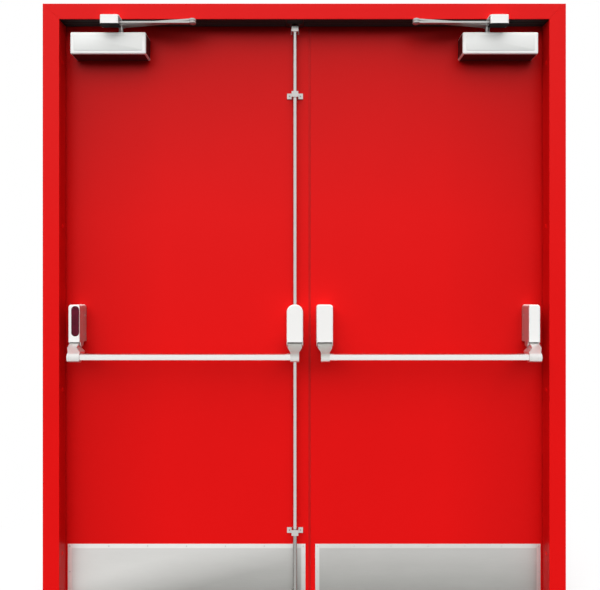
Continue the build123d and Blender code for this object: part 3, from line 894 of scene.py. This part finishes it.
def stop_seal():
    """Rubber seals on the stop, in front of the leaves' edges."""
    head_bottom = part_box("frame_head")[0][2]
    leaf_low, leaf_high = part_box("right_front_skin")
    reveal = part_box("right_jamb")[0][0]
    threshold_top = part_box("threshold")[1][2]
    stop_y = leaf_low[1] - STOP_GAP
    x = (reveal + leaf_high[0]) / 2
    z = (head_bottom + leaf_high[2]) / 2
    outline = half_round(STOP_SEAL_WIDTH, STOP_SEAL_HEIGHT)
    bm = bmesh.new()
    for sign in (-1, 1):
        add_prism(bm, Matrix.Translation((sign * x, stop_y, threshold_top)), outline, z - threshold_top)
    add_prism(bm, Matrix.Translation((-x, stop_y, z)) @ PROFILE_ON_Z, outline, 2 * x)
    finish_piece("stop_seal", bm, "frame", (BLACK_RUBBER,))


def seal_profile(width):
    """A flat strip that hangs from local X, with two shallow grooves."""
    half = width / 2
    drop = -HEAD_SEAL_THICKNESS
    groove = HEAD_SEAL_GROOVE_DEPTH * drop
    outline = [(half, 0.0), (half, drop)]
    outline += [(share * half, z) for share, z in zip(HEAD_SEAL_GROOVE, (drop, groove, groove, drop))]
    return mirrored(outline)


def head_seal_and_shade():
    """Dark fire seal strips along the soffit, round the shoes and the rod's strike, wide enough to stand in
    as painted shade on the soffit.
    """
    head_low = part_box("frame_head")[0]
    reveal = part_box("right_jamb")[0][0]
    front = head_low[1] + HEAD_SEAL_INSET
    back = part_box("right_front_skin")[0][1] - STOP_GAP - HEAD_SEAL_INSET
    strike_low, strike_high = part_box("top_strike")
    breaks = [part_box("left_closer_shoe"), (strike_low, strike_high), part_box("right_closer_shoe")]
    starts = [-reveal] + [high[0] for low, high in breaks]
    ends = [low[0] for low, high in breaks] + [reveal]
    strips = [(start, end, back) for start, end in zip(starts, ends)]
    before_strike = strike_low[1] - HEAD_SEAL_GAP
    strips.append((strike_low[0] - HEAD_SEAL_GAP, strike_high[0] + HEAD_SEAL_GAP, before_strike))
    bm = bmesh.new()
    for start, end, rear in strips:
        place = Matrix.Translation((start + HEAD_SEAL_GAP, (front + rear) / 2, head_low[2])) @ PROFILE_ON_Y
        add_prism(bm, place, seal_profile(rear - front), end - start - 2 * HEAD_SEAL_GAP)
    finish_piece("head_seal_and_shade", bm, "frame", (BLACK_RUBBER,))


def rod_hole_shade_cup():
    """A dark cup inside the head that closes the top rod's hole from above, dark as painted shade."""
    outer, inner, height, roof = SHADE_CUP
    rod_low, rod_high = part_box("top_rod")
    rod_x, rod_y, _ = middle(rod_low, rod_high)
    sheet_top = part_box("frame_head")[0][2] + SHEET_THICKNESS
    place = Matrix.Translation((rod_x, rod_y, sheet_top))
    ceiling = height - roof
    wall = ((inner, ceiling), (inner, 0.0), (outer, 0.0), (outer, ceiling), (outer - roof, height))
    bm = bmesh.new()
    add_stack(bm, [add_loop(bm, place, circle(radius), level) for radius, level in wall])
    finish_piece("top_strike_shade_cup", bm, "frame", (SHADE_BLACK_PLASTIC,))


# Stage

def mixed(tree, factor, first, second):
    """Two shaders mixed by a factor."""
    mix = add_node(tree, "ShaderNodeMixShader", Fac=factor)
    feed(tree, mix.inputs[1], first.outputs[0])
    feed(tree, mix.inputs[2], second.outputs[0])
    return mix


def world_light():
    """White to the camera and to reflections, and a soft dome above the horizon."""
    world = bpy.data.worlds.new("studio")
    bpy.context.scene.world = world
    world.use_nodes = True
    tree = world.node_tree
    tree.nodes.clear()
    height = coordinates(tree, "Generated")[2]
    dome = add_node(tree, "ShaderNodeBackground", Strength=band_from(tree, height, *HORIZON, DOME_LEVEL))
    white = add_node(tree, "ShaderNodeBackground", Color=(1.0, 1.0, 1.0, 1.0))
    path = add_node(tree, "ShaderNodeLightPath")
    seen = joined(tree, "MAXIMUM", path.outputs["Is Camera Ray"], path.outputs["Is Glossy Ray"])
    seen = joined(tree, "MAXIMUM", seen, path.outputs["Is Transmission Ray"])
    sky = mixed(tree, seen, dome, white)
    add_node(tree, "ShaderNodeOutputWorld", Surface=sky.outputs[0])


def soft_light(name, level, elevation, azimuth, softness):
    """A broad soft light from far away, without a glare of its own. Azimuth 0 is the front."""
    light = bpy.data.lights.new(name, "SUN")
    light.energy = level
    light.angle = math.radians(softness)
    lamp = bpy.data.objects.new(name, light)
    bpy.context.scene.collection.objects.link(lamp)
    lamp.rotation_euler = (math.radians(90 - elevation), 0.0, math.radians(azimuth))
    lamp.visible_glossy = False


def floor_paint():
    """Pale to the camera near the door, white farther out and in reflections, and dark to bounced light."""
    material, tree, shader = new_material("floor")
    colour = (FLOOR_COLOUR, FLOOR_COLOUR, FLOOR_COLOUR, 1.0)
    set_inputs(tree, shader, Base_Color=colour, Roughness=0.9, Specular_IOR_Level=0.1)
    bounce = add_node(tree, "ShaderNodeBsdfDiffuse", Color=(FLOOR_BOUNCE, FLOOR_BOUNCE, FLOOR_BOUNCE, 1.0))
    glow = add_node(tree, "ShaderNodeEmission")
    place = add_node(tree, "ShaderNodeTexCoord")
    reach = add_node(tree, "ShaderNodeVectorMath", operation="LENGTH")
    feed(tree, reach.inputs[0], place.outputs["Object"])
    fade = add_node(tree, "ShaderNodeMapRange", interpolation_type="SMOOTHSTEP", Value=reach.outputs["Value"])
    set_inputs(tree, fade, From_Min=FLOOR_FADE[0], From_Max=FLOOR_FADE[1])
    path = add_node(tree, "ShaderNodeLightPath")
    by_camera = path.outputs["Is Camera Ray"]
    in_reflection = path.outputs["Is Glossy Ray"]
    shown = mixed(tree, joined(tree, "MAXIMUM", by_camera, in_reflection), bounce, shader)
    far_out = joined(tree, "MULTIPLY", by_camera, fade.outputs["Result"])
    surface = mixed(tree, joined(tree, "MAXIMUM", far_out, in_reflection), shown, glow)
    set_inputs(tree, tree.nodes["Material Output"], Surface=surface.outputs[0])
    return material


def floor():
    """A pale floor that fades into the white background away from the door."""
    bpy.ops.mesh.primitive_plane_add(size=FLOOR_SIZE, location=(0.0, 0.0, 0.0))
    plane = bpy.context.object
    plane.name = "floor"
    plane.data.materials.append(floor_paint())


def camera():
    """The photograph's viewpoint."""
    lens = bpy.data.cameras.new("camera")
    lens.lens = CAMERA_LENS_MM
    lens.sensor_width = CAMERA_SENSOR_MM
    lens.sensor_fit = "HORIZONTAL"
    eye = bpy.data.objects.new("camera", lens)
    bpy.context.scene.collection.objects.link(eye)
    eye.location = CAMERA_PLACE
    eye.rotation_euler = CAMERA_TURN
    bpy.context.scene.camera = eye


paint_nodes()
for node in ("left_jamb", "right_jamb", "frame_head"):
    soften_edges(node, SHEET_BEND)
for side, sign in SIDES:
    soften_edges(f"{side}_front_skin", LEAF_BEND)
    soften_edges(f"{side}_back_skin", LEAF_BEND)
    kick_screws(side)
    bottom_sweep(side)
    bolt_caps(side)
    hinge_screws(side, sign, "leaf", f"{side}_leaf", 1)
    hinge_screws(side, sign, "frame", "frame", -1)
    closer_panel(side)
    closer_shade_caps(side)
    closer_trim(side, sign)
    shoe_shade_cover(side)
    case_screws(side)
meeting_seal()
indicator_window()
guide_screws()
fixing_caps()
stop_seal()
head_seal_and_shade()
rod_hole_shade_cup()
world_light()
floor()
soft_light("key", **KEY_LIGHT)
soft_light("back", **BACK_LIGHT)
camera()
bpy.context.scene.view_settings.view_transform = "Standard"
